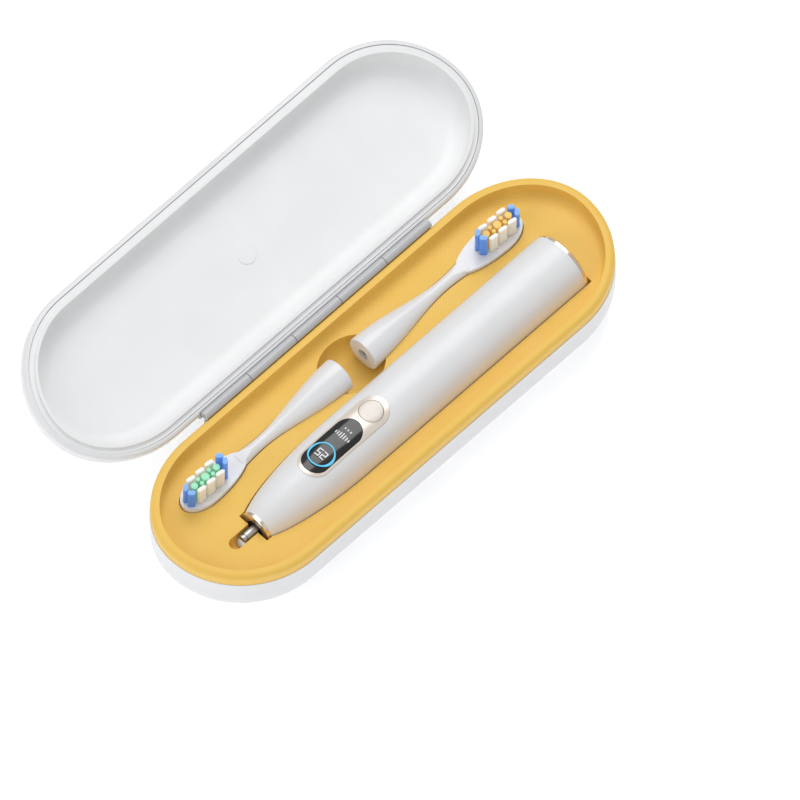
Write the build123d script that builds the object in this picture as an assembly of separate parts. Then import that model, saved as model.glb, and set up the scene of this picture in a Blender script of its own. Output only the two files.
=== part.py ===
from build123d import *
import os

# Travel case for an electric toothbrush: a two-part oval case with a tray, the brush handle
# and two push-on brush heads. Millimetres. The origin is the middle of the case's flat
# underside, +X runs towards the handle's end cap, +Y towards the hinge, +Z up.

# Case outline: straight sides that end in half ellipses
case_length = 235.0
case_width = 74.2
end_reach = 41.0
end_skew = 2.5

# Base shell and tray
shell_wall = 2.0
shell_top = 23.2
base_edge_radius = 13.0
rim_height = 5.8
rim_depth = 4.1
rim_inset = 0.3
rim_edge_radius = 2.0
tray_fit = 0.2
tray_plate = 1.8
tray_sink = 6.7
tray_fillet = 2.6
pocket_wall = 1.5

# Lid
lid_gap = 0.3
lid_height = 16.7
lid_wall = 2.2
lid_top_radius = 13.0
lid_lip_radius = 1.9
thumb_notch_length = 40.0
thumb_notch_height = 1.1
liner_fit = 0.2
liner_inset = 4.6
liner_wall = 1.2
liner_flange = 1.2
liner_flange_lift = 0.4
liner_bead_drop = 1.0
liner_top_gap = 3.0
liner_top_radius = 9.0
boss_radius = 4.0
boss_height = 0.4
lid_open_angle = 160.0

# Hinge on the +Y side
hinge_length = 127.0
hinge_stand_off = 1.3
knuckle_radius = 2.0
knuckle_count = 5
knuckle_gap = 0.3
knuckle_clear = 0.3
leaf_thickness = 1.1
leaf_gap = 0.15
leaf_clear = 0.55
pin_radius = 0.8
pin_fit = 0.04

# Closure magnets in the front edge
magnet_length = 12.0
magnet_thickness = 2.0
magnet_height = 2.6
magnet_pitch = 84.0
magnet_fit = 0.1
magnet_cover = 1.1

# Brush handle, a body of revolution along X
handle_y = -9.3
handle_drop = 2.0
handle_radius = 14.4
handle_wall = 1.6
neck_x = -80.4
neck_radius = 7.6
waist_x = -61.0
waist_radius = 12.4
full_x = -33.0
housing_end_x = 90.4
neck_ring_length = 1.6
neck_hole_radius = 4.2
shaft_radius = 2.2
shaft_core_radius = 2.0
shaft_tip_x = -94.6
shaft_flat_length = 5.2
shaft_flat_thickness = 1.7
shaft_ramp_angle = 38.0
shaft_groove_x = -88.4
shaft_groove_width = 0.9
shaft_groove_depth = 0.4
seal_bore_fit = 0.08
shaft_fit = 0.04
end_ring_length = 1.8
end_ring_width = 1.0

# Control panel on top of the handle
panel_x = -32.1
panel_length = 46.2
panel_width = 14.2
panel_seat = 1.2
panel_proud = 0.3
panel_fit = 0.05
panel_ledge = 1.6
screen_x = -38.7
screen_length = 30.0
screen_width = 12.4
screen_proud = 0.1
display_thickness = 1.2
display_margin = 1.0
button_x = -16.6
button_radius = 5.1
button_gap = 0.15
button_proud = 0.6
button_thickness = 1.6
button_travel = 0.5
stem_radius = 1.4

# Drive inside the handle
motor_radius = 8.0
motor_wall = 1.2
motor_front_x = -58.0
motor_back_x = -24.0
bearing_length = 3.0
bearing_radius = 4.5
rotor_radius = 6.0
rotor_clear = 3.0
chassis_fit = 0.1
chassis_wall = 1.5
chassis_end_x = 76.0
board_level = 6.5
board_thickness = 1.2
board_width = 18.6
board_end_x = 67.0
switch_size = 6.0
switch_height = 2.0
battery_radius = 7.1
battery_length = 49.0
battery_start_x = 10.5
battery_level = -3.8
tab_thickness = 0.5
tab_width = 8.0
rib_thickness = 4.0
screw_radius = 0.8
screw_head_radius = 1.6
screw_head_height = 1.0
screw_length = 6.0
coil_outer_radius = 10.0
coil_inner_radius = 7.0
coil_length = 3.4
plug_length = 7.6
plug_fit = 0.15
ring_section = 0.5

# Brush heads
head_y = 16.6
head_a_base_x = -9.8
head_b_base_x = 6.0
head_length = 87.0
head_base_radius = 7.6
head_waist_radius = 2.6
head_waist_at = 46.0
neck_overlap = 4.0
neck_flare = 0.9
ramp_start = 42.0
ramp_height = 3.3
ramp_end = 58.0
head_plate_start = 52.0
head_plate_width = 14.0
head_plate_tip = 12.0
head_plate_thickness = 4.4
head_plate_rise = 2.0
head_plate_edge = 1.6
socket_radius = 3.1
socket_length = 16.0
socket_fit = 0.06
base_ring_length = 1.4
tuft_height = 10.2
neck_tuft_extra = 2.6
centre_tuft_drop = 0.6
tuft_root = 1.6
tuft_tip_margin = 1.5
tuft_field_length = 22.0
white_tuft_length = 4.2
white_tuft_width = 1.8
white_tuft_slant = 8.6
white_tuft_pitch = 5.2
white_tuft_side = 3.2
blue_tuft_length = 3.3
blue_tuft_width = 2.1
blue_tuft_inset = 1.5
blue_tuft_side = 1.7
centre_tuft_radius = 1.5
middle_tuft_radius = 1.75
centre_tuft_pitch = 6.2
small_tuft_radius = 0.95
small_tuft_side = 1.15

# Tray pockets
pocket_clear = 0.4
pocket_end_clear = 1.2
shaft_room = 0.6
scoop_length = 30.0
scoop_width = 25.0
scoop_depth = 8.0
scoop_radius = 6.0

rim_top = shell_top + rim_height
tray_floor = rim_top - tray_sink
handle_z = tray_floor - handle_drop
head_z = tray_floor
lid_bottom = rim_top + lid_gap
lid_top = lid_bottom + lid_height
hinge_y = case_width / 2 + hinge_stand_off
hinge_z = rim_top + lid_gap / 2
leaf_height = hinge_z - shell_top - leaf_gap
half_width = case_width / 2


def outline(grow):
    """Case outline as a face on the ground plane, grown or shrunk by a wall."""
    straight = case_length / 2 - end_reach
    half = half_width + grow
    reach = end_reach + grow
    sides = []
    for centre_x, start in ((straight, 0), (-straight, 90), (-straight, 180), (straight, 270)):
        side_half = half - end_skew if start < 180 else half + end_skew
        sides.append(EllipticalCenterArc((centre_x, end_skew), reach, side_half,
                                         start_angle=start, arc_size=90))
    sides.append(Line((straight, half), (-straight, half)))
    sides.append(Line((straight, -half), (-straight, -half)))
    return make_face(Curve() + sides)


def slab(grow, low, high):
    """A slice of the case outline between two heights."""
    return extrude(Pos(0, 0, low) * outline(grow), amount=high - low)


def rounded_slab(grow, low, high, level, radius):
    """A slice with one of its flat ends rounded over."""
    solid = slab(grow, low, high)
    edges = solid.edges().filter_by(lambda e: abs(e.center().Z - level) < 1e-3)
    return fillet(edges, radius)


def block(x0, x1, y0, y1, z0, z1):
    """A box from its corners."""
    size = (x1 - x0, y1 - y0, z1 - z0)
    return Pos((x0 + x1) / 2, (y0 + y1) / 2, (z0 + z1) / 2) * Box(*size)


def rod_x(x0, x1, radius, y=0.0, z=0.0):
    """A round bar along X."""
    return Pos((x0 + x1) / 2, y, z) * Rot(0, 90, 0) * Cylinder(radius, x1 - x0)


def tube_x(x0, x1, outer, inner, y=0.0, z=0.0):
    """A ring or tube along X."""
    return rod_x(x0, x1, outer, y, z) - rod_x(x0 - 1, x1 + 1, inner, y, z)


def turned(profile_face):
    """Turn a face above the X axis into a solid of revolution."""
    return revolve(profile_face, axis=Axis.X)


def save(shape, name):
    """Write one sub-part, one solid or a group of separate solids."""
    solids = shape.solids()
    body = solids[0] if len(solids) == 1 else Compound(children=list(solids))
    body.label = name
    export_step(body, f"parts/{name}.step")


# ---- base of the case ------------------------------------------------------------------

def base_shell():
    outer = rounded_slab(0, 0, shell_top, 0, base_edge_radius)
    inner_radius = base_edge_radius - shell_wall
    inner = rounded_slab(-shell_wall, shell_wall, shell_top + 1, shell_wall, inner_radius)
    return outer - inner


def handle_profile(grow, x0, x1, upper_only=True):
    """Side outline of the handle between two stations, grown by a wall, as a closed face."""
    curve = Spline(
        (neck_x, neck_radius + grow),
        (waist_x, waist_radius + grow),
        (full_x, handle_radius + grow),
        tangents=((1, 0.42), (1, 0)),
    )
    end = Line((full_x, handle_radius + grow), (x1, handle_radius + grow))
    down = Line((x1, handle_radius + grow), (x1, 0))
    along = Line((x1, 0), (neck_x, 0))
    up = Line((neck_x, 0), (neck_x, neck_radius + grow))
    body = make_face(Curve() + [curve, end, down, along, up])
    if x0 < neck_x:
        body += Pos((x0 + neck_x) / 2, (neck_radius + grow) / 2) * Rectangle(
            neck_x - x0, neck_radius + grow)
    if x0 > neck_x:
        body -= Pos((x0 + neck_x) / 2 - 50, 0) * Rectangle(x0 - neck_x + 100, 80)
    if upper_only:
        return body
    return body + mirror(body, about=Plane.XZ)


def lift_pocket(plan_face, level, top):
    """Straight-sided part of a pocket, so that what lies in it lifts straight out."""
    return extrude(Pos(0, 0, level) * plan_face, amount=top - level)


def handle_pocket(grow):
    start = neck_x - neck_ring_length - pocket_end_clear
    end = housing_end_x + end_ring_length + pocket_end_clear
    at = Pos(0, handle_y, handle_z)
    room = pocket_clear + grow
    round_part = at * turned(handle_profile(room, start - grow, end + grow))
    plan = Pos(0, handle_y) * handle_profile(room, start - grow, end + grow, upper_only=False)
    tall_part = lift_pocket(plan, handle_z, rim_top + 1)
    tip = shaft_tip_x - pocket_end_clear - grow
    radius = shaft_radius + shaft_room + grow
    lane = make_face(Curve() + [
        CenterArc((tip + radius, 0), radius, 90, 90),
        Line((tip + radius, radius), (start + 1, radius)),
        Line((start + 1, radius), (start + 1, 0)),
        Line((start + 1, 0), (tip, 0)),
    ])
    lane_plan = Pos(0, handle_y) * (lane + mirror(lane, about=Plane.XZ))
    groove = at * turned(lane) + lift_pocket(lane_plan, handle_z, rim_top + 1)
    return round_part + tall_part + groove


def head_outline(grow, base_ring=0.0):
    """Plan of a brush head along X from its base at 0, above the X axis, as a closed face."""
    end_x = head_plate_start + neck_overlap
    end_half = head_waist_radius + neck_flare + grow
    curve = Spline(
        (-base_ring, head_base_radius + grow),
        (head_waist_at, head_waist_radius + grow),
        (end_x, end_half),
        tangents=((1, -0.02), (1, 0.12)),
    )
    down = Line((end_x, end_half), (end_x, 0))
    along = Line((end_x, 0), (-base_ring, 0))
    up = Line((-base_ring, 0), (-base_ring, head_base_radius + grow))
    return make_face(Curve() + [curve, down, along, up])


def plate_outline(grow):
    """Egg-shaped plate that carries the bristles, in plan, blunt at the tip."""
    widest = head_length - head_plate_tip
    half = head_plate_width / 2 + grow
    tip = EllipticalCenterArc((widest, 0), head_plate_tip + grow, half,
                              start_angle=-90, arc_size=180)
    back = EllipticalCenterArc((widest, 0), widest - head_plate_start + grow, half,
                               start_angle=90, arc_size=180)
    return make_face(Curve() + [tip, back])


def place_head(base_x, direction):
    """Location of a brush head: its base at base_x, its bristle end along direction."""
    turn = Rot(0, 0, 0) if direction > 0 else Rot(0, 0, 180)
    return Pos(base_x, head_y, head_z) * turn


def head_pocket(base_x, direction, grow):
    room = pocket_clear + grow
    half_plan = head_outline(room, base_ring=base_ring_length + pocket_end_clear + grow)
    plate = plate_outline(room)
    plan = half_plan + mirror(half_plan, about=Plane.XZ) + plate
    depth = head_plate_thickness - head_plate_rise + room
    neck = turned(half_plan)
    plate_pocket = extrude(Pos(0, 0, -depth) * plate, amount=depth)
    tall = extrude(plan, amount=rim_top + 1 - head_z)
    return place_head(base_x, direction) * (neck + plate_pocket + tall)


def finger_scoop(grow):
    middle = (head_a_base_x + head_b_base_x) / 2
    plan = Ellipse(scoop_length / 2 + grow, scoop_width / 2 + grow)
    low = tray_floor - scoop_depth - grow
    solid = extrude(Pos(middle, head_y, low) * plan, amount=rim_top + 1 - low)
    edge = solid.edges().filter_by(lambda e: e.center().Z < low + 0.1)
    return fillet(edge, scoop_radius + grow)


def pockets(grow):
    return [
        handle_pocket(grow),
        head_pocket(head_a_base_x, -1, grow),
        head_pocket(head_b_base_x, 1, grow),
        finger_scoop(grow),
    ]


def knuckle_relief():
    """Groove around the hinge axis that keeps the knuckles off the tray rim and the lid."""
    half = hinge_length / 2 + knuckle_gap
    return rod_x(-half, half, knuckle_radius + knuckle_clear, hinge_y, hinge_z)


def magnet_bar(x, low, extra=0.0):
    y = half_width - rim_inset - magnet_thickness / 2 - magnet_cover
    length = magnet_length + 2 * extra
    thick = magnet_thickness + 2 * extra
    return block(x - length / 2, x + length / 2, -y - thick / 2, -y + thick / 2,
                 low, low + magnet_height)


def magnet_places():
    return [-magnet_pitch / 2, magnet_pitch / 2]


base_magnet_low = rim_top - magnet_height - 0.8


def tray_insert():
    rim = slab(-rim_inset, shell_top, rim_top)
    rim_edges = rim.edges().filter_by(lambda e: abs(e.center().Z - rim_top) < 1e-3)
    rim = fillet(rim_edges, rim_edge_radius)
    skirt = slab(-shell_wall - tray_fit, tray_floor - tray_plate, shell_top)
    body = rim + skirt
    cap = slab(-shell_wall - tray_fit, shell_wall, tray_floor)
    for pocket in pockets(pocket_wall):
        body += pocket & cap
    body -= rounded_slab(-rim_depth, tray_floor, rim_top + 1, tray_floor, tray_fillet)
    for pocket in pockets(0):
        body -= pocket
    body -= knuckle_relief()
    for x in magnet_places():
        bar = magnet_bar(x, base_magnet_low, magnet_fit)
        channel = magnet_bar(x, base_magnet_low - magnet_height, magnet_fit)
        deep = magnet_bar(x, tray_floor - tray_plate - 1, magnet_fit)
        body -= bar + channel + deep
    return body


def base_magnets():
    return Compound(children=[magnet_bar(x, base_magnet_low) for x in magnet_places()])


# ---- lid, modelled closed and then opened about the hinge -----------------------------------

def opened(shape):
    """Turn a lid piece from closed to fully open about the hinge axis."""
    pivot = Pos(0, hinge_y, hinge_z)
    return pivot * Rot(-lid_open_angle, 0, 0) * pivot.inverse() * shape


def lid_shell():
    body = rounded_slab(0, lid_bottom, lid_top, lid_top, lid_top_radius)
    body -= rounded_slab(-lid_wall, lid_bottom - 1, lid_top - lid_wall, lid_top - lid_wall,
                         lid_top_radius - lid_wall)
    lip_edges = body.faces().sort_by(Axis.Z)[0].outer_wire().edges()
    body = fillet(lip_edges, lid_lip_radius) - knuckle_relief()
    half_chord = thumb_notch_length / 2
    arc_radius = (half_chord ** 2 + thumb_notch_height ** 2) / (2 * thumb_notch_height)
    notch = Pos(0, -half_width, lid_bottom + thumb_notch_height - arc_radius) * (
        Rot(90, 0, 0) * Cylinder(arc_radius, 2 * (lid_wall - 0.5)))
    return body - notch


def lid_liner():
    floor_z = lid_top - lid_wall - liner_top_gap
    flange_low = lid_bottom + liner_flange_lift
    outer = rounded_slab(-liner_inset, flange_low, floor_z, floor_z, liner_top_radius)
    flange = slab(-lid_wall - liner_fit, flange_low, flange_low + liner_flange)
    bead = slab(-liner_inset, lid_bottom - liner_bead_drop, flange_low)
    cavity_top = floor_z - liner_wall
    cavity = rounded_slab(-liner_inset - liner_wall, lid_bottom - liner_bead_drop - 1,
                          cavity_top, cavity_top, liner_top_radius - liner_wall)
    boss = Pos(0, 0, cavity_top - boss_height / 2) * Cylinder(boss_radius, boss_height)
    return outer + flange + bead - cavity + boss


def lid_magnet(x):
    y = half_width - (lid_wall + liner_inset) / 2
    low = lid_bottom + liner_flange_lift + liner_flange
    half = magnet_thickness / 2
    return block(x - magnet_length / 2, x + magnet_length / 2, -y - half, -y + half,
                 low, low + magnet_height)


def lid_magnets():
    return Compound(children=[opened(lid_magnet(x)) for x in magnet_places()])


# ---- hinge ------------------------------------------------------------------------------

def knuckle_span(index):
    pitch = hinge_length / knuckle_count
    start = -hinge_length / 2 + index * pitch
    return start + knuckle_gap / 2, start + pitch - knuckle_gap / 2


def hinge_leaf(indexes, side):
    """Barrel knuckles and the plate that fixes them, side -1 for the base and +1 for the lid."""
    near = half_width
    far = near + leaf_thickness
    edge = knuckle_radius + leaf_clear
    plate_y0 = near if side > 0 else near - rim_inset
    z_near = hinge_z + side * edge
    z_far = hinge_z + side * leaf_height
    half = hinge_length / 2
    body = block(-half, half, plate_y0, far, min(z_near, z_far), max(z_near, z_far))
    for index in indexes:
        x0, x1 = knuckle_span(index)
        web = block(x0, x1, plate_y0 + 0.6, far, min(hinge_z, z_near), max(hinge_z, z_near))
        body += web
        body += rod_x(x0, x1, knuckle_radius, hinge_y, hinge_z)
    return body - rod_x(-half - 1, half + 1, pin_radius + pin_fit, hinge_y, hinge_z)


def hinge_leaf_base():
    return hinge_leaf([0, 2, 4], -1)


def hinge_leaf_lid():
    return opened(hinge_leaf([1, 3], 1))


def hinge_pin():
    half = hinge_length / 2 - knuckle_gap
    return rod_x(-half, half, pin_radius, hinge_y, hinge_z)


# ---- brush handle ---------------------------------------------------------------------

def at_handle(shape):
    return Pos(0, handle_y, handle_z) * shape


def skin(outer_grow, inner_grow):
    """The layer between two offsets of the handle's surface, its upper half."""
    layer = turned(handle_profile(outer_grow, neck_x + 4, housing_end_x))
    layer -= turned(handle_profile(inner_grow, neck_x + 3, housing_end_x + 1))
    return layer & block(neck_x, housing_end_x, -20, 20, 0, 20)


def capsule(x, length, width, low=0.0, high=20.0):
    shape = Pos(x, 0, low) * SlotOverall(length, width)
    return extrude(shape, amount=high - low)


def handle_housing():
    body = turned(handle_profile(0, neck_x, housing_end_x))
    hollow = turned(handle_profile(-handle_wall, neck_x + handle_wall, housing_end_x + 1))
    body -= hollow
    body -= rod_x(neck_x - 1, neck_x + 3, neck_hole_radius)
    body -= capsule(panel_x, panel_length, panel_width) & skin(1, -panel_seat)
    ledge = 2 * panel_ledge
    body -= capsule(panel_x, panel_length - ledge, panel_width - ledge)
    return at_handle(body)


def bezel_frame():
    fit = 2 * panel_fit
    plate = capsule(panel_x, panel_length - fit, panel_width - fit)
    body = plate & skin(panel_proud, -panel_seat)
    body -= capsule(screen_x, screen_length, screen_width)
    body -= Pos(button_x, 0, 10) * Cylinder(button_radius + button_gap, 30)
    return at_handle(body)


def screen_window():
    fit = 2 * panel_fit
    plate = capsule(screen_x, screen_length - fit, screen_width - fit)
    return at_handle(plate & skin(screen_proud, -panel_seat))


def display_module():
    margin = 2 * display_margin
    plate = capsule(screen_x, screen_length - margin, screen_width - margin)
    return at_handle(plate & skin(-panel_seat, -panel_seat - display_thickness))


def power_button():
    cap = Pos(button_x, 0, 10) * Cylinder(button_radius, 30)
    cap &= skin(button_proud, button_proud - button_thickness)
    stem_low = board_level + board_thickness + switch_height + button_travel + 0.05
    stem_high = handle_radius + button_proud - button_thickness
    stem = Pos(button_x, 0, (stem_low + stem_high) / 2) * Cylinder(
        stem_radius, stem_high - stem_low)
    return at_handle(cap + stem)


def neck_ring():
    x0 = neck_x - neck_ring_length
    ring = rod_x(x0, neck_x, neck_radius)
    front = ring.edges().filter_by(lambda e: abs(e.center().X - x0) < 1e-3)
    ring = chamfer(front, 0.3) - rod_x(x0 - 1, neck_x + 1, neck_hole_radius)
    return at_handle(ring)


def neck_seal():
    x0 = neck_x - neck_ring_length + 0.5
    bore = shaft_core_radius + seal_bore_fit
    ring = tube_x(x0, neck_x + handle_wall, neck_hole_radius, bore)
    lip = tube_x(neck_x + handle_wall, neck_x + handle_wall + 1.2, neck_hole_radius + 1.2, bore)
    return at_handle(ring + lip)


def drive_shaft():
    start = motor_back_x - 0.6
    shoulder = neck_x - neck_ring_length
    bar = rod_x(shaft_tip_x, shoulder, shaft_radius)
    tip = bar.edges().filter_by(lambda e: e.center().X < shaft_tip_x + 0.1)
    bar = chamfer(tip, 0.5) + rod_x(shoulder, start, shaft_core_radius)
    groove = tube_x(shaft_groove_x, shaft_groove_x + shaft_groove_width, shaft_radius + 1,
                    shaft_radius - shaft_groove_depth)
    bar -= groove
    low = shaft_flat_thickness - shaft_radius
    flat = block(shaft_tip_x - 1, shaft_tip_x + shaft_flat_length, -4, 4, low, 4)
    ramp = Pos(shaft_tip_x + shaft_flat_length, 0, low) * Rot(0, -shaft_ramp_angle, 0) * block(
        -8, 0, -4, 4, 0, 6)
    return at_handle(bar - flat - ramp)


def rotor():
    x0 = motor_front_x + bearing_length + rotor_clear
    x1 = motor_back_x - bearing_length - rotor_clear
    return at_handle(tube_x(x0, x1, rotor_radius, shaft_core_radius))


def motor_housing():
    body = rod_x(motor_front_x, motor_back_x, motor_radius)
    body -= rod_x(motor_front_x + bearing_length, motor_back_x - bearing_length,
                  motor_radius - motor_wall)
    body -= rod_x(motor_front_x - 1, motor_back_x + 1, bearing_radius)
    return at_handle(body)


def shaft_bearings():
    bore = shaft_core_radius + shaft_fit
    front = tube_x(motor_front_x, motor_front_x + bearing_length, bearing_radius, bore)
    back = tube_x(motor_back_x - bearing_length, motor_back_x, bearing_radius, bore)
    return at_handle(Compound(children=[front, back]))


rib_places = (battery_start_x - tab_thickness - rib_thickness,
              battery_start_x + battery_length + tab_thickness)


def chassis_screw_places():
    return [x + rib_thickness / 2 for x in rib_places]


def inner_chassis():
    outer = handle_radius - handle_wall - chassis_fit
    inner = outer - chassis_wall
    room = block(motor_back_x, chassis_end_x, -20, 20, -20, board_level)
    body = tube_x(motor_back_x, chassis_end_x, outer, inner) & room
    for x0 in rib_places:
        body += rod_x(x0, x0 + rib_thickness, outer) & room
    body += rod_x(motor_back_x, motor_back_x + chassis_wall, outer) & room
    body += rod_x(chassis_end_x - chassis_wall, chassis_end_x, outer) & room
    for x in chassis_screw_places():
        depth = screw_length - board_thickness
        body -= Pos(x, 0, board_level - depth / 2) * Cylinder(screw_radius, depth)
    return at_handle(body)


def main_board():
    half = board_width / 2
    body = block(motor_back_x, board_end_x, -half, half, board_level,
                 board_level + board_thickness)
    for x in chassis_screw_places():
        body -= Pos(x, 0, board_level) * Cylinder(screw_radius, 6)
    return at_handle(body)


def chassis_screws():
    top = board_level + board_thickness
    screws = []
    for x in chassis_screw_places():
        shank = Pos(x, 0, top - screw_length / 2) * Cylinder(screw_radius, screw_length)
        head = Pos(x, 0, top + screw_head_height / 2) * Cylinder(
            screw_head_radius, screw_head_height)
        screws.append(at_handle(shank + head))
    return Compound(children=screws)


def tact_switch():
    low = board_level + board_thickness
    body = Pos(button_x, 0, low + switch_height / 4) * Box(
        switch_size, switch_size, switch_height / 2)
    body += Pos(button_x, 0, low + switch_height * 0.75) * Cylinder(1.7, switch_height / 2)
    return at_handle(body)


def battery_cell():
    x1 = battery_start_x + battery_length
    return at_handle(rod_x(battery_start_x, x1, battery_radius, 0, battery_level))


def battery_tabs():
    half = tab_width / 2
    low = battery_level - battery_radius + 1
    tabs = []
    for x0 in (battery_start_x - tab_thickness, battery_start_x + battery_length):
        tab = block(x0, x0 + tab_thickness, -half, half, low, board_level)
        tabs.append(at_handle(tab))
    return Compound(children=tabs)


def charging_coil():
    x1 = housing_end_x - plug_length
    return at_handle(tube_x(x1 - coil_length, x1, coil_outer_radius, coil_inner_radius))


def end_cap():
    bore = handle_radius - handle_wall
    plug = rod_x(housing_end_x - plug_length, housing_end_x, bore - plug_fit)
    groove_x = housing_end_x - plug_length / 2
    groove = tube_x(groove_x - ring_section, groove_x + ring_section, bore + 1,
                    bore - 2 * ring_section + 0.1)
    face = rod_x(housing_end_x, housing_end_x + end_ring_length,
                 handle_radius - end_ring_width)
    edge = face.edges().filter_by(
        lambda e: abs(e.center().X - housing_end_x - end_ring_length) < 1e-3)
    return at_handle(plug - groove + chamfer(edge, 0.5))


def end_cap_ring():
    x1 = housing_end_x + end_ring_length
    ring = rod_x(housing_end_x, x1, handle_radius)
    edge = ring.edges().filter_by(lambda e: abs(e.center().X - x1) < 1e-3)
    ring = chamfer(edge, 0.7)
    ring -= rod_x(housing_end_x - 1, x1 + 1, handle_radius - end_ring_width)
    return at_handle(ring)


def end_cap_oring():
    groove_x = housing_end_x - plug_length / 2
    middle = handle_radius - handle_wall - ring_section + 0.05
    section = Pos(groove_x, middle) * Circle(ring_section - 0.05)
    return at_handle(turned(section))


# ---- brush heads ------------------------------------------------------------------------

def head_body():
    neck = turned(head_outline(0))
    low = head_plate_rise - head_plate_thickness
    plate = extrude(Pos(0, 0, low) * plate_outline(0), amount=head_plate_thickness)
    rim = plate.edges().filter_by(lambda e: abs(e.center().Z - low) < 1e-3)
    plate = fillet(rim, head_plate_edge)
    above = Polygon((ramp_start, ramp_height), (ramp_end, head_plate_rise),
                    (head_length, head_plate_rise), (head_length, head_base_radius),
                    (ramp_start, head_base_radius), align=None)
    clear_top = extrude(Plane.XZ * above, amount=head_base_radius, both=True)
    body = neck - clear_top + plate
    body -= rod_x(-1, socket_length, socket_radius)
    for tuft in all_tufts(root_only=True):
        body -= tuft
    return body


def head_socket():
    bore = shaft_radius + socket_fit
    return tube_x(0, socket_length, socket_radius, bore)


def head_base_ring():
    ring = rod_x(-base_ring_length, 0, head_base_radius)
    edge = ring.edges().filter_by(lambda e: abs(e.center().X + base_ring_length) < 1e-3)
    ring = chamfer(edge, 0.3)
    return ring - rod_x(-base_ring_length - 1, 1, shaft_radius + 0.3)


def tuft(shape_2d, x, y, height, root_only):
    """One bundle of bristles, or only the part of it that sits in the plate."""
    middle = head_length - tuft_tip_margin - tuft_field_length / 2
    root = head_plate_rise - tuft_root
    top = head_plate_rise + (0.001 if root_only else height)
    return extrude(Pos(middle + x, y, root) * shape_2d, amount=top - root)


def white_tufts(root_only=False):
    """Six slanted bars, three along each side."""
    bar = Rot(0, 0, -white_tuft_slant) * SlotOverall(white_tuft_length, white_tuft_width)
    tufts = []
    for step in (-1, 0, 1):
        for sign in (-1, 1):
            tufts.append(tuft(bar, step * white_tuft_pitch, sign * white_tuft_side,
                              tuft_height, root_only))
    return tufts


def blue_tufts(root_only=False):
    """A bar at each corner of the bristle field, turned to follow its rounded ends."""
    reach = tuft_field_length / 2 - blue_tuft_inset
    tufts = []
    for end, height in ((-1, tuft_height + neck_tuft_extra), (1, tuft_height)):
        for sign in (-1, 1):
            bar = Rot(0, 0, -45 * end * sign) * SlotOverall(blue_tuft_length, blue_tuft_width)
            tufts.append(tuft(bar, end * reach, sign * blue_tuft_side, height, root_only))
    return tufts


def centre_tufts(root_only=False):
    """Three thick and four thin round tufts down the middle."""
    height = tuft_height - centre_tuft_drop
    tufts = [tuft(Circle(middle_tuft_radius), 0, 0, height, root_only)]
    for end in (-1, 1):
        tufts.append(tuft(Circle(centre_tuft_radius), end * centre_tuft_pitch, 0, height,
                          root_only))
        for sign in (-1, 1):
            tufts.append(tuft(Circle(small_tuft_radius), end * centre_tuft_pitch / 2,
                              sign * small_tuft_side, height, root_only))
    return tufts


def all_tufts(root_only=False):
    return white_tufts(root_only) + blue_tufts(root_only) + centre_tufts(root_only)


# ---- write every sub-part -----------------------------------------------------------------

os.makedirs("parts", exist_ok=True)

save(base_shell(), "base_shell")
save(tray_insert(), "tray_insert")
save(base_magnets(), "base_magnets")
save(hinge_leaf_base(), "hinge_leaf_base")
save(hinge_pin(), "hinge_pin")

save(opened(lid_shell()), "lid_shell")
save(opened(lid_liner()), "lid_liner")
save(lid_magnets(), "lid_magnets")
save(hinge_leaf_lid(), "hinge_leaf_lid")

save(handle_housing(), "handle_housing")
save(bezel_frame(), "bezel_frame")
save(screen_window(), "screen_window")
save(display_module(), "display_module")
save(power_button(), "power_button")
save(neck_ring(), "neck_ring")
save(neck_seal(), "neck_seal")
save(drive_shaft(), "drive_shaft")
save(rotor(), "rotor")
save(motor_housing(), "motor_housing")
save(shaft_bearings(), "shaft_bearings")
save(inner_chassis(), "inner_chassis")
save(main_board(), "main_board")
save(chassis_screws(), "chassis_screws")
save(tact_switch(), "tact_switch")
save(battery_cell(), "battery_cell")
save(battery_tabs(), "battery_tabs")
save(charging_coil(), "charging_coil")
save(end_cap(), "end_cap")
save(end_cap_ring(), "end_cap_ring")
save(end_cap_oring(), "end_cap_oring")

for letter, base_x, direction in (("a", head_a_base_x, -1), ("b", head_b_base_x, 1)):
    place = place_head(base_x, direction)
    save(place * head_body(), f"head_{letter}_body")
    save(place * head_socket(), f"head_{letter}_socket")
    save(place * head_base_ring(), f"head_{letter}_base_ring")
    save(place * Compound(children=white_tufts()), f"head_{letter}_white_tufts")
    save(place * Compound(children=blue_tufts()), f"head_{letter}_blue_tufts")
    save(place * Compound(children=centre_tufts()), f"head_{letter}_centre_tufts")
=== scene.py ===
"""Looks of a toothbrush travel case: materials, bristles, screen print, button, light and camera."""

import math
import random

import bpy
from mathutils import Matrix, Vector


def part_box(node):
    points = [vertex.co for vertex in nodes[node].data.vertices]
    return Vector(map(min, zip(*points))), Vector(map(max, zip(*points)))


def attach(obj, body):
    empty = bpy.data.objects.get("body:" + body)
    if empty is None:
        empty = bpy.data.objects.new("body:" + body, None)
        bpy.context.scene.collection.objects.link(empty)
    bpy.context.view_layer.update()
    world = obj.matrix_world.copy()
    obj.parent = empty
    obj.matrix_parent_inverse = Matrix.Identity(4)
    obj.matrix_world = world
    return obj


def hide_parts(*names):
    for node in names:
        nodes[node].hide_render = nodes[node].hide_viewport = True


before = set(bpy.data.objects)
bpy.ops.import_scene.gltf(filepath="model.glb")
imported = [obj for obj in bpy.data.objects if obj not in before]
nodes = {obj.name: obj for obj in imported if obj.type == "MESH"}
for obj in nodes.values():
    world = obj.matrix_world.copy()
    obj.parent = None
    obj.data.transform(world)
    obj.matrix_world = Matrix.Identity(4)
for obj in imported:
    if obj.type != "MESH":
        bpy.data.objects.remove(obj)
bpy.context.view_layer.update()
MM = 0.001

# ---- places read from the frame ----------------------------------------------------------

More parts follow.
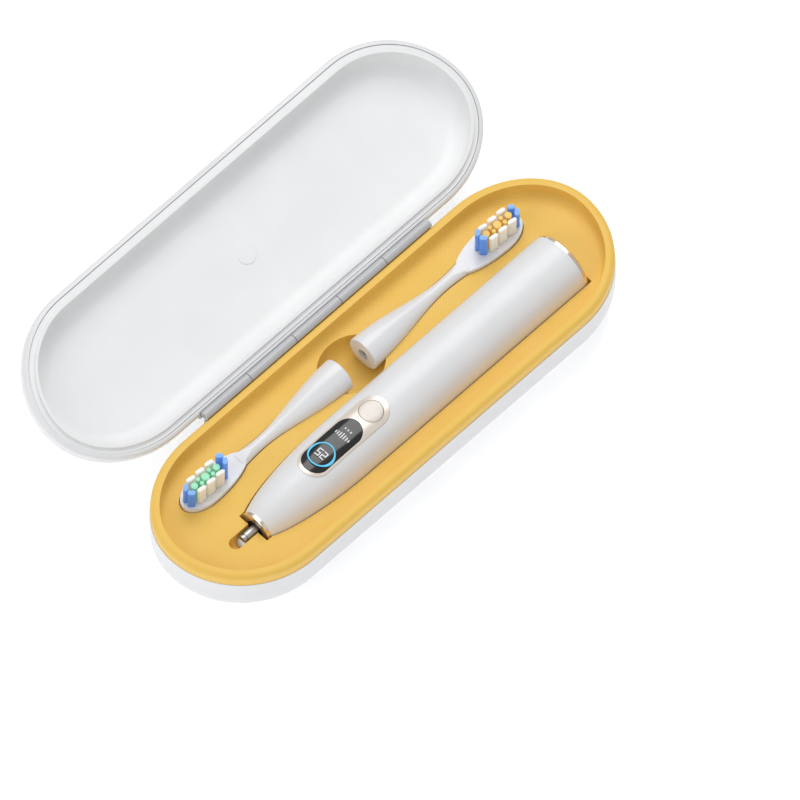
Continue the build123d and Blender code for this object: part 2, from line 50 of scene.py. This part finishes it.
housing_low, housing_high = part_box("handle_housing")
AXIS_Y = (housing_low.y + housing_high.y) / 2
AXIS_Z = (housing_low.z + housing_high.z) / 2
TRAY_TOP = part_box("tray_insert")[1].z

# ---- material building blocks ------------------------------------------------------------


def base_material(name, colour, roughness, metallic=0.0, coat=0.0):
    """A Principled material and the two things that its textures are wired to."""
    material = bpy.data.materials.new(name)
    material.use_nodes = True
    tree = material.node_tree
    shader = tree.nodes["Principled BSDF"]
    shader.inputs["Base Color"].default_value = (*colour, 1)
    shader.inputs["Roughness"].default_value = roughness
    shader.inputs["Metallic"].default_value = metallic
    shader.inputs["Coat Weight"].default_value = coat
    return material, tree, shader


def place(tree, stretch=(1, 1, 1), turn=0.0):
    """Texture place in the row frame, stretched along the axes and turned about Z."""
    coordinates = tree.nodes.new("ShaderNodeTexCoord")
    mapping = tree.nodes.new("ShaderNodeMapping")
    mapping.inputs["Scale"].default_value = stretch
    mapping.inputs["Rotation"].default_value = (0, 0, math.radians(turn))
    tree.links.new(coordinates.outputs["Object"], mapping.inputs["Vector"])
    return mapping.outputs["Vector"]


def noise(tree, size, detail=2.0, stretch=(1, 1, 1)):
    """Soft noise whose spots are about size millimetres wide."""
    texture = tree.nodes.new("ShaderNodeTexNoise")
    texture.inputs["Scale"].default_value = 1 / (size * MM)
    texture.inputs["Detail"].default_value = detail
    tree.links.new(place(tree, stretch), texture.inputs["Vector"])
    return texture.outputs["Fac"]


def remap(tree, value, low, high):
    """The 0.3 to 0.7 that noise mostly gives, spread from low to high."""
    node = tree.nodes.new("ShaderNodeMapRange")
    node.inputs["From Min"].default_value = 0.3
    node.inputs["From Max"].default_value = 0.7
    node.inputs["To Min"].default_value = low
    node.inputs["To Max"].default_value = high
    tree.links.new(value, node.inputs["Value"])
    return node.outputs["Result"]


def blend_colours(tree, factor, first, second):
    """First colour where factor is 0, second where it is 1."""
    node = tree.nodes.new("ShaderNodeMix")
    node.data_type = "RGBA"
    node.inputs[6].default_value = (*first, 1)
    node.inputs[7].default_value = (*second, 1)
    tree.links.new(factor, node.inputs[0])
    return node.outputs[2]


def mottle(tree, shader, colour, spread, size):
    """Slight colour drift over the surface."""
    dark = [c * (1 - spread) for c in colour]
    light = [min(c * (1 + spread), 1) for c in colour]
    drift = remap(tree, noise(tree, size), 0, 1)
    tree.links.new(blend_colours(tree, drift, dark, light), shader.inputs["Base Color"])


def bump(tree, shader, height, depth, strength=1.0):
    """Relief of depth millimetres from a 0 to 1 height."""
    node = tree.nodes.new("ShaderNodeBump")
    node.inputs["Strength"].default_value = strength
    node.inputs["Distance"].default_value = depth * MM
    tree.links.new(height, node.inputs["Height"])
    tree.links.new(node.outputs["Normal"], shader.inputs["Normal"])


def moulded(name, colour, roughness, grain=0.35, depth=0.012, spread=0.015, coat=0.0):
    """Injection-moulded plastic: fine spark-eroded grain and a little drift in gloss."""
    material, tree, shader = base_material(name, colour, roughness, coat=coat)
    mottle(tree, shader, colour, spread, 18.0)
    shine = remap(tree, noise(tree, 6.0, detail=3.0), roughness - 0.04, roughness + 0.04)
    tree.links.new(shine, shader.inputs["Roughness"])
    bump(tree, shader, noise(tree, grain, detail=3.0), depth)
    return material


def wave(tree, pitch, turn):
    """Even ribs, pitch millimetres apart."""
    texture = tree.nodes.new("ShaderNodeTexWave")
    texture.inputs["Scale"].default_value = math.pi / 10 / (pitch * MM)
    tree.links.new(place(tree, turn=turn), texture.inputs["Vector"])
    return texture.outputs["Fac"]


def product(tree, first, second):
    """Two heights multiplied."""
    node = tree.nodes.new("ShaderNodeMath")
    node.operation = "MULTIPLY"
    tree.links.new(first, node.inputs[0])
    tree.links.new(second, node.inputs[1])
    return node.outputs[0]


def below(tree, height):
    """1 below a height above the ground, 0 above it."""
    parts = tree.nodes.new("ShaderNodeSeparateXYZ")
    tree.links.new(place(tree), parts.inputs["Vector"])
    node = tree.nodes.new("ShaderNodeMath")
    node.operation = "LESS_THAN"
    tree.links.new(parts.outputs["Z"], node.inputs[0])
    node.inputs[1].default_value = height
    return node.outputs[0]


RIM_SMOOTH = 5.2 * MM


def soft_tray():
    """Yellow soft-touch plastic: a fine diagonal cross-hatch on the floor, a smooth rim."""
    colour = (0.86, 0.535, 0.092)
    material, tree, shader = base_material("tray_yellow_soft", colour, 0.55)
    weave = product(tree, wave(tree, 1.1, 45), wave(tree, 1.1, -45))
    weave = product(tree, weave, below(tree, TRAY_TOP - RIM_SMOOTH))
    dark, light = ([c * share for c in colour] for share in (0.92, 1.02))
    tree.links.new(blend_colours(tree, weave, light, dark), shader.inputs["Base Color"])
    shine = remap(tree, noise(tree, 9.0, detail=3.0), 0.50, 0.60)
    tree.links.new(shine, shader.inputs["Roughness"])
    bump(tree, shader, weave, 0.04, 0.7)
    shader.inputs["Sheen Weight"].default_value = 0.12
    return material


def metal(name, colour, roughness, stretch, metallic=1.0, depth=0.006):
    """Brushed or satin metal with streaks along the short side of stretch."""
    material, tree, shader = base_material(name, colour, roughness, metallic=metallic)
    streaks = noise(tree, 1.0, detail=4.0, stretch=stretch)
    shine = remap(tree, streaks, roughness * 0.8, roughness * 1.25)
    tree.links.new(shine, shader.inputs["Roughness"])
    mottle(tree, shader, colour, 0.03, 8.0)
    bump(tree, shader, streaks, depth)
    return material


def black_glass():
    """Tinted screen window, polished, with faint smears in its gloss."""
    colour = (0.012, 0.012, 0.013)
    material, tree, shader = base_material("screen_glass", colour, 0.1, coat=0.25)
    mottle(tree, shader, colour, 0.1, 10.0)
    smears = remap(tree, noise(tree, 5.0, detail=4.0), 0.1, 0.17)
    tree.links.new(smears, shader.inputs["Roughness"])
    return material


def glowing(name, colour, strength):
    """Lit screen print: a colour that gives a little light, uneven like small lamps behind it."""
    material, tree, shader = base_material(name, colour, 0.4)
    mottle(tree, shader, colour, 0.08, 1.5)
    shader.inputs["Emission Color"].default_value = (*colour, 1)
    shader.inputs["Emission Strength"].default_value = strength
    return material


def filament(name, side, tip):
    """Nylon bristles: each filament a little different, with a painted highlight that makes it paler
    towards its rounded tip.

    The small glow is painted light: it brightens the shade between the packed filaments, standing in
    for the light that passes through thin nylon.
    """
    material, tree, shader = base_material(name, side, 0.42)
    along = tree.nodes.new("ShaderNodeAttribute")
    along.attribute_name = "tip"
    tone = tree.nodes.new("ShaderNodeAttribute")
    tone.attribute_name = "tone"
    body = blend_colours(tree, tone.outputs["Fac"], [c * 0.86 for c in side], side)
    mix = tree.nodes.new("ShaderNodeMix")
    mix.data_type = "RGBA"
    # The tip colour is a painted highlight, blended in by the tip attribute.
    mix.inputs[7].default_value = (*tip, 1)
    tree.links.new(along.outputs["Fac"], mix.inputs[0])
    tree.links.new(body, mix.inputs[6])
    tree.links.new(mix.outputs[2], shader.inputs["Base Color"])
    # Painted light: a faint glow in the filament's own colour lifts the shade between packed
    # filaments.
    tree.links.new(mix.outputs[2], shader.inputs["Emission Color"])
    shader.inputs["Emission Strength"].default_value = 0.16
    shader.inputs["Sheen Weight"].default_value = 0.1
    return material


# ---- materials for the CAD nodes ---------------------------------------------------------

TURNED = (18, 1, 1)
DRAWN = (1, 12, 12)

SHELL = moulded("shell_white", (0.80, 0.80, 0.81), 0.38)
LINER = moulded("liner_white", (0.87, 0.87, 0.87), 0.45, grain=0.5)
TRAY = soft_tray()
# Grey hinge leaves: painted shade standing in for the shaded gap between lid and base.
HINGE = moulded("hinge_painted_shade", (0.52, 0.52, 0.535), 0.30, depth=0.006)
HANDLE = moulded("handle_white", (0.80, 0.80, 0.805), 0.33, grain=0.25, depth=0.006)
HEAD = moulded("head_white", (0.79, 0.79, 0.80), 0.24, grain=0.3, depth=0.004)
CHAMPAGNE = metal("champagne", (0.90, 0.80, 0.70), 0.34, (4, 4, 4), metallic=0.55)
BUTTON = metal("button_pearl", (0.76, 0.70, 0.64), 0.45, (5, 5, 5), metallic=0.2)
RING = metal("ring_champagne", (0.92, 0.78, 0.62), 0.22, TURNED, metallic=0.9)
STEEL = metal("steel_turned", (0.50, 0.49, 0.48), 0.36, TURNED)
INNER_STEEL = metal("steel_drawn", (0.50, 0.49, 0.48), 0.35, DRAWN)
COPPER = metal("coil_copper", (0.72, 0.34, 0.17), 0.3, TURNED)
GLASS = black_glass()
DISPLAY = moulded("display_matt", (0.03, 0.035, 0.04), 0.5)
SEAL = moulded("seal_rubber", (0.018, 0.018, 0.018), 0.6, grain=0.2, depth=0.02)
CHASSIS = moulded("chassis_grey", (0.22, 0.23, 0.25), 0.5)
BOARD = moulded("board_green", (0.02, 0.14, 0.06), 0.35)
CELL = moulded("cell_sleeve", (0.05, 0.13, 0.28), 0.3)

DRESS = {
    SHELL: ("base_shell", "lid_shell"),
    LINER: ("lid_liner",),
    TRAY: ("tray_insert",),
    HINGE: ("hinge_leaf_base", "hinge_leaf_lid"),
    HANDLE: ("handle_housing", "end_cap"),
    HEAD: ("head_a_body", "head_b_body", "head_a_base_ring", "head_b_base_ring"),
    CHAMPAGNE: ("bezel_frame",),
    RING: ("neck_ring", "end_cap_ring"),
    STEEL: ("drive_shaft", "head_a_socket", "head_b_socket"),
    INNER_STEEL: ("hinge_pin", "base_magnets", "lid_magnets", "rotor", "motor_housing",
                  "shaft_bearings", "chassis_screws", "battery_tabs"),
    COPPER: ("charging_coil",),
    GLASS: ("screen_window",),
    DISPLAY: ("display_module",),
    SEAL: ("neck_seal", "end_cap_oring", "tact_switch"),
    CHASSIS: ("inner_chassis",),
    BOARD: ("main_board",),
    CELL: ("battery_cell",),
}


def dress(node, material):
    """Gives a CAD node its finish."""
    obj = nodes[node]
    if not obj.material_slots:
        obj.data.materials.append(material)
    for material_slot in obj.material_slots:
        material_slot.material = material


for finish, names in DRESS.items():
    for node in names:
        dress(node, finish)

# ---- new pieces --------------------------------------------------------------------------


def piece(name, points, faces, material, body, slot):
    """A mesh object that rides on a body and wears the given material; its slot argument is not
    used.
    """
    mesh = bpy.data.meshes.new(name)
    mesh.from_pydata(points, [], faces)
    mesh.update()
    mesh.materials.append(material)
    for polygon in mesh.polygons:
        polygon.use_smooth = True
    obj = bpy.data.objects.new(name, mesh)
    bpy.context.scene.collection.objects.link(obj)
    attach(obj, body)
    return obj


# ---- bristles ----------------------------------------------------------------------------

FILAMENT_RADIUS = 0.118 * MM
FILAMENT_PITCH = 0.236 * MM
FILAMENT_SIDES = 6
TIP_SCATTER = 0.10 * MM
CROWN = 0.30 * MM
ROOT_SUNK = 0.6 * MM
LEAN_SCATTER = 0.03 * MM
# Depth below the top where the painted tip highlight starts.
SPLAY = 0.02
HIGHLIGHT_FROM_TOP = 0.9 * MM
ROUND_FROM_TOP = 0.09 * MM
END_FROM_TOP = 0.02 * MM


def separate_solids(node):
    """The points of each separate solid in a CAD node."""
    mesh = nodes[node].data
    root = list(range(len(mesh.vertices)))

    def find(index):
        while root[index] != index:
            root[index] = root[root[index]]
            index = root[index]
        return index

    first = {}
    for vertex in mesh.vertices:
        key = tuple(round(c * 1e7) for c in vertex.co)
        root[find(vertex.index)] = find(first.setdefault(key, vertex.index))
    for edge in mesh.edges:
        root[find(edge.vertices[0])] = find(edge.vertices[1])
    groups = {}
    for vertex in mesh.vertices:
        groups.setdefault(find(vertex.index), []).append(vertex.co.copy())
    return sorted(groups.values(), key=lambda points: (min(p.x for p in points),
                                                       min(p.y for p in points)))


def outline_of(solid):
    """Convex outline of a solid seen from above, anticlockwise."""
    spots = sorted({(round(p.x, 7), round(p.y, 7)) for p in solid})

    def chain(order):
        kept = []
        for x, y in order:
            while len(kept) > 1:
                (x0, y0), (x1, y1) = kept[-2:]
                if (x1 - x0) * (y - y0) - (y1 - y0) * (x - x0) > 0:
                    break
                kept.pop()
            kept.append((x, y))
        return kept[:-1]

    return [Vector(spot) for spot in chain(spots) + chain(spots[::-1])]


def depth_inside(outline, x, y):
    """How far a point lies inside a convex outline, negative outside."""
    nearest = math.inf
    for start, end in zip(outline, outline[1:] + outline[:1]):
        along = (end - start).normalized()
        nearest = min(nearest, along.x * (y - start.y) - along.y * (x - start.x))
    return nearest


def bundle_places(outline):
    """Centres of the filaments packed in one tuft's outline, in rows like a honeycomb."""
    low_x, high_x = min(p.x for p in outline), max(p.x for p in outline)
    low_y, high_y = min(p.y for p in outline), max(p.y for p in outline)
    row_step = FILAMENT_PITCH * math.sqrt(3) / 2
    found = []
    for row in range(int((high_y - low_y) / row_step) + 1):
        shift = FILAMENT_PITCH / 2 if row % 2 else 0
        for column in range(int((high_x - low_x) / FILAMENT_PITCH) + 2):
            x = low_x + shift + column * FILAMENT_PITCH
            y = low_y + row * row_step
            inside = depth_inside(outline, x, y)
            if inside > FILAMENT_RADIUS:
                found.append((x, y, inside))
    return found


def bristles(node, name, material, body, slot, seed):
    """Every filament of a CAD node's tufts, each a thin rod with a rounded tip."""
    draw = random.Random(seed)
    points, faces, tip_highlights, tones = [], [], [], []
    for solid in separate_solids(node):
        outline = outline_of(solid)
        low = min(p.z for p in solid) + ROOT_SUNK
        high = max(p.z for p in solid)
        middle = sum(outline, Vector((0, 0))) / len(outline)
        places = bundle_places(outline)
        thick = max(inside for _, _, inside in places)
        for x, y, inside in places:
            tone = draw.random()
            top = high - draw.random() * TIP_SCATTER - CROWN * (1 - inside / thick) ** 2
            lean = Vector((draw.uniform(-1, 1), draw.uniform(-1, 1))) * LEAN_SCATTER
            lean += (Vector((x, y)) - middle) * SPLAY
            # Rings: height, width share and painted tip highlight, which makes the top of each
            # filament paler as if lit from above.
            rings = ((low, 1.0, 0.0), (top - HIGHLIGHT_FROM_TOP, 1.0, 0.0),
                     (top - ROUND_FROM_TOP, 1.0, 0.9), (top - END_FROM_TOP, 0.6, 1.0))
            start = len(points)
            for z, share, tip in rings:
                rise = (z - low) / (top - low)
                for side in range(FILAMENT_SIDES):
                    angle = math.tau * side / FILAMENT_SIDES
                    points.append((x + lean.x * rise + math.cos(angle) * FILAMENT_RADIUS * share,
                                   y + lean.y * rise + math.sin(angle) * FILAMENT_RADIUS * share,
                                   z))
                    tip_highlights.append(tip)
                    tones.append(tone)
            for ring in range(len(rings) - 1):
                for side in range(FILAMENT_SIDES):
                    a = start + ring * FILAMENT_SIDES + side
                    b = start + ring * FILAMENT_SIDES + (side + 1) % FILAMENT_SIDES
                    faces.append((a, b, b + FILAMENT_SIDES, a + FILAMENT_SIDES))
            last = start + (len(rings) - 1) * FILAMENT_SIDES
            faces.append(tuple(range(last, last + FILAMENT_SIDES)))
            faces.append(tuple(range(start + FILAMENT_SIDES - 1, start - 1, -1)))
    obj = piece(name, points, faces, material, body, slot)
    # The tip attribute carries the painted tip highlight to the bristle material.
    for attribute_name, values in (("tip", tip_highlights), ("tone", tones)):
        attribute = obj.data.attributes.new(attribute_name, "FLOAT", "POINT")
        attribute.data.foreach_set("value", values)
    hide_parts(node)


# Side colour, then the painted highlight colour at the tips.
BRISTLE = {
    "white": filament("bristle_cream", (0.94, 0.88, 0.76), (0.96, 0.96, 0.95)),
    "blue": filament("bristle_blue", (0.13, 0.37, 0.93), (0.38, 0.63, 0.97)),
    "mint": filament("bristle_mint", (0.30, 0.72, 0.48), (0.50, 0.90, 0.68)),
    "yellow": filament("bristle_yellow", (0.86, 0.52, 0.10), (0.95, 0.74, 0.26)),
}

for letter, centre in (("a", "mint"), ("b", "yellow")):
    for seed, (kind, finish) in enumerate((("white", "white"), ("blue", "blue"),
                                           ("centre", centre))):
        bristles(f"head_{letter}_{kind}_tufts", f"bristles_{letter}_{kind}", BRISTLE[finish],
                 f"head_{letter}", f"bristle_{finish}", seed)

# ---- print on the screen -----------------------------------------------------------------

screen_low, screen_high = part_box("screen_window")
SCREEN_X = (screen_low.x + screen_high.x) / 2
SCREEN_RADIUS = screen_high.z - AXIS_Z
PRINT_LIFT = 0.05 * MM
PRINT_SINK = -0.02 * MM
RING_AT = -5.9
RING_RADIUS = 5.4


def on_screen(along, across, lift):
    """Point on the curved screen: along towards the button, across towards the hinge, in mm."""
    y = across * MM
    height = math.sqrt((SCREEN_RADIUS + lift) ** 2 - y ** 2)
    return SCREEN_X + along * MM, AXIS_Y + y, AXIS_Z + height


def ribbon(points, faces, path, widths, closed=False):
    """Adds a thin raised line along a flat path, with its own width at each point."""
    count = len(path)
    start = len(points)
    for index, (along, across) in enumerate(path):
        before = path[index - 1] if closed or index else path[index]
        after = path[(index + 1) % count] if closed or index < count - 1 else path[index]
        run = Vector((after[0] - before[0], after[1] - before[1])).normalized()
        half = widths[index] / 2
        for side, lift in ((1, PRINT_LIFT), (-1, PRINT_LIFT), (-1, PRINT_SINK), (1, PRINT_SINK)):
            points.append(on_screen(along - run.y * half * side, across + run.x * half * side,
                                    lift))
    for index in range(count if closed else count - 1):
        a = start + index * 4
        b = start + (index + 1) % count * 4
        for corner in range(4):
            other = (corner + 1) % 4
            faces.append((a + corner, a + other, b + other, b + corner))
    if not closed:
        last = start + (count - 1) * 4
        faces.append((start + 3, start + 2, start + 1, start))
        faces.append((last, last + 1, last + 2, last + 3))


def stroke(points, faces, corners, width, step=0.3):
    """Adds straight strokes between corners, each long enough to close the corner."""
    for (a0, b0), (a1, b1) in zip(corners, corners[1:]):
        run = Vector((a1 - a0, b1 - b0))
        reach = run.normalized() * width / 2
        count = max(2, int(run.length / step) + 2)
        path = []
        for index in range(count):
            share = index / (count - 1)
            spot = Vector((a0, b0)) - reach + (run + reach * 2) * share
            path.append((spot.x, spot.y))
        ribbon(points, faces, path, [width] * count)


def ring_print():
    """Lit ring with two broader stretches."""
    points, faces = [], []
    path, widths = [], []
    for index in range(120):
        angle = math.tau * index / 120
        path.append((RING_AT + RING_RADIUS * math.cos(angle), RING_RADIUS * math.sin(angle)))
        widths.append(0.62 + 0.42 * abs(math.sin(angle)) ** 6)
    ribbon(points, faces, path, widths, closed=True)
    return points, faces


DIGIT_HEIGHT = 3.2
DIGIT_WIDTH = 1.7
DIGITS = {
    "2": ((0, 2), (1, 2), (1, 1), (0, 1), (0, 0), (1, 0)),
    "5": ((1, 2), (0, 2), (0, 1), (1, 1), (1, 0), (0, 0)),
}


def digit_print():
    """Two plain digits inside the ring."""
    points, faces = [], []
    for digit, left in (("2", -2.2), ("5", 0.5)):
        corners = []
        for right, up in DIGITS[digit]:
            along = RING_AT + DIGIT_HEIGHT / 2 - up * DIGIT_HEIGHT / 2
            corners.append((along, left + right * DIGIT_WIDTH))
        stroke(points, faces, corners, 0.55)
    return points, faces


LEVELS_AT = 5.9
LEVEL_PITCH = 1.15
LEVEL_WIDTH = 0.5
DOTS_AT = 9.3
DOT_PITCH = 1.5
DOT_REACH = 0.15
DOT_WIDTH = 0.6


def mode_print():
    """A row of level bars and three dots, nearer the button."""
    points, faces = [], []
    for index, length in enumerate((0.8, 1.3, 1.8, 2.3, 1.8, 1.3, 0.8)):
        across = (index - 3) * LEVEL_PITCH
        ends = ((LEVELS_AT - length / 2, across), (LEVELS_AT + length / 2, across))
        stroke(points, faces, ends, LEVEL_WIDTH)
    for across in (-DOT_PITCH, 0, DOT_PITCH):
        ends = ((DOTS_AT - DOT_REACH, across), (DOTS_AT + DOT_REACH, across))
        stroke(points, faces, ends, DOT_WIDTH)
    return points, faces


CYAN = glowing("print_cyan", (0.10, 0.50, 0.74), 0.35)
PALE = glowing("print_pale", (0.70, 0.71, 0.72), 0.22)

piece("screen_ring", *ring_print(), CYAN, "handle", "display")
piece("screen_digits", *digit_print(), PALE, "handle", "display")
piece("screen_levels", *mode_print(), PALE, "handle", "display")

# ---- power button ------------------------------------------------------------------------

BUTTON_EDGE = 0.45
BUTTON_DISH = 0.30
BUTTON_DISH_RADIUS = 4.0
BUTTON_SPOKES = 72
BUTTON_THICKNESS = 1.6
STEM_RADIUS = 1.4

button_low, button_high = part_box("power_button")


def button_mesh():
    """Round cap that follows the handle's curve, with a soft edge, a shallow dish and a stem."""
    middle_x = (button_low.x + button_high.x) / 2
    radius = (button_high.x - button_low.x) / 2 / MM
    top = (button_high.z - AXIS_Z) / MM
    profile = []
    for share in (0.08, 0.2, 0.35, 0.5, 0.62, 0.72, 0.8, 0.86):
        r = radius * share
        profile.append((r, -BUTTON_DISH * max(0, 1 - (r / BUTTON_DISH_RADIUS) ** 2) ** 2))
    for step in range(7):
        angle = math.pi / 2 * step / 6
        profile.append((radius - BUTTON_EDGE + BUTTON_EDGE * math.sin(angle),
                        -BUTTON_EDGE + BUTTON_EDGE * math.cos(angle)))
    profile += [(radius, -BUTTON_THICKNESS), (STEM_RADIUS, -BUTTON_THICKNESS)]
    points, faces = [], []
    for r, drop in profile:
        for spoke in range(BUTTON_SPOKES):
            angle = math.tau * spoke / BUTTON_SPOKES
            x, y = r * math.cos(angle), r * math.sin(angle)
            z = math.sqrt((top + drop) ** 2 - y ** 2)
            points.append((middle_x + x * MM, AXIS_Y + y * MM, AXIS_Z + z * MM))
    for spoke in range(BUTTON_SPOKES):
        angle = math.tau * spoke / BUTTON_SPOKES
        points.append((middle_x + STEM_RADIUS * MM * math.cos(angle),
                       AXIS_Y + STEM_RADIUS * MM * math.sin(angle), button_low.z))
    for ring in range(len(profile)):
        for spoke in range(BUTTON_SPOKES):
            a = ring * BUTTON_SPOKES + spoke
            b = ring * BUTTON_SPOKES + (spoke + 1) % BUTTON_SPOKES
            faces.append((a, a + BUTTON_SPOKES, b + BUTTON_SPOKES, b))
    faces.append(tuple(range(BUTTON_SPOKES)))
    last = len(profile) * BUTTON_SPOKES
    faces.append(tuple(range(last + BUTTON_SPOKES - 1, last - 1, -1)))
    return points, faces


button = piece("power_button_cap", *button_mesh(), BUTTON, "button", "champagne")
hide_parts("power_button")

# ---- floor, light and camera -------------------------------------------------------------

FLOOR_SIZE = 3.0
FLOOR_GLOW = 0.35
RIGHT = Vector((0.7083, -0.7059, 0))
UP = Vector((0.6113, 0.6134, 0.5))
BACK = RIGHT.cross(UP)
TARGET = Vector((0, 0, 0.029)) + RIGHT * 6.4 * MM - UP * 8.6 * MM


def floor():
    """Plain pale sheet under the case."""
    mesh = bpy.data.meshes.new("floor")
    half = FLOOR_SIZE / 2
    corners = [(-half, -half, 0), (half, -half, 0), (half, half, 0), (-half, half, 0)]
    mesh.from_pydata(corners, [], [(0, 1, 2, 3)])
    paper = moulded("floor_pale", (0.93, 0.93, 0.93), 0.8, grain=3.0)
    shader = paper.node_tree.nodes["Principled BSDF"]
    shader.inputs["Emission Color"].default_value = (1, 1, 1, 1)
    shader.inputs["Emission Strength"].default_value = FLOOR_GLOW
    mesh.materials.append(paper)
    sheet = bpy.data.objects.new("floor", mesh)
    bpy.context.scene.collection.objects.link(sheet)


def softbox(name, direction, distance, size, power, colour=(1, 1, 1)):
    """Square area light that faces the case."""
    lamp = bpy.data.lights.new(name, "AREA")
    lamp.shape = "SQUARE"
    lamp.size = size
    lamp.energy = power
    lamp.color = colour
    obj = bpy.data.objects.new(name, lamp)
    away = Vector(direction).normalized()
    obj.location = TARGET + away * distance
    obj.rotation_euler = away.to_track_quat("Z", "Y").to_euler()
    bpy.context.scene.collection.objects.link(obj)


def sky():
    """Even pale surroundings."""
    world = bpy.data.worlds.new("studio")
    world.use_nodes = True
    background = world.node_tree.nodes["Background"]
    background.inputs["Color"].default_value = (0.96, 0.98, 1.0, 1)
    background.inputs["Strength"].default_value = 0.44
    bpy.context.scene.world = world


def camera():
    """Parallel view, as from far away."""
    data = bpy.data.cameras.new("camera")
    data.type = "ORTHO"
    data.ortho_scale = 0.32
    obj = bpy.data.objects.new("camera", data)
    obj.location = TARGET + BACK * 1.2
    obj.rotation_euler = BACK.to_track_quat("Z", "Y").to_euler()
    bpy.context.scene.collection.objects.link(obj)
    bpy.context.scene.camera = obj


floor()
sky()
softbox("key", (0.35, 0.35, 0.87), 1.1, 0.8, 6.2)
softbox("left", (-0.9, 0.1, 0.6), 1.1, 0.7, 2.8)
softbox("front", (-0.1, -0.9, 0.7), 1.2, 0.9, 1.5)
camera()
bpy.context.scene.view_settings.view_transform = "Standard"
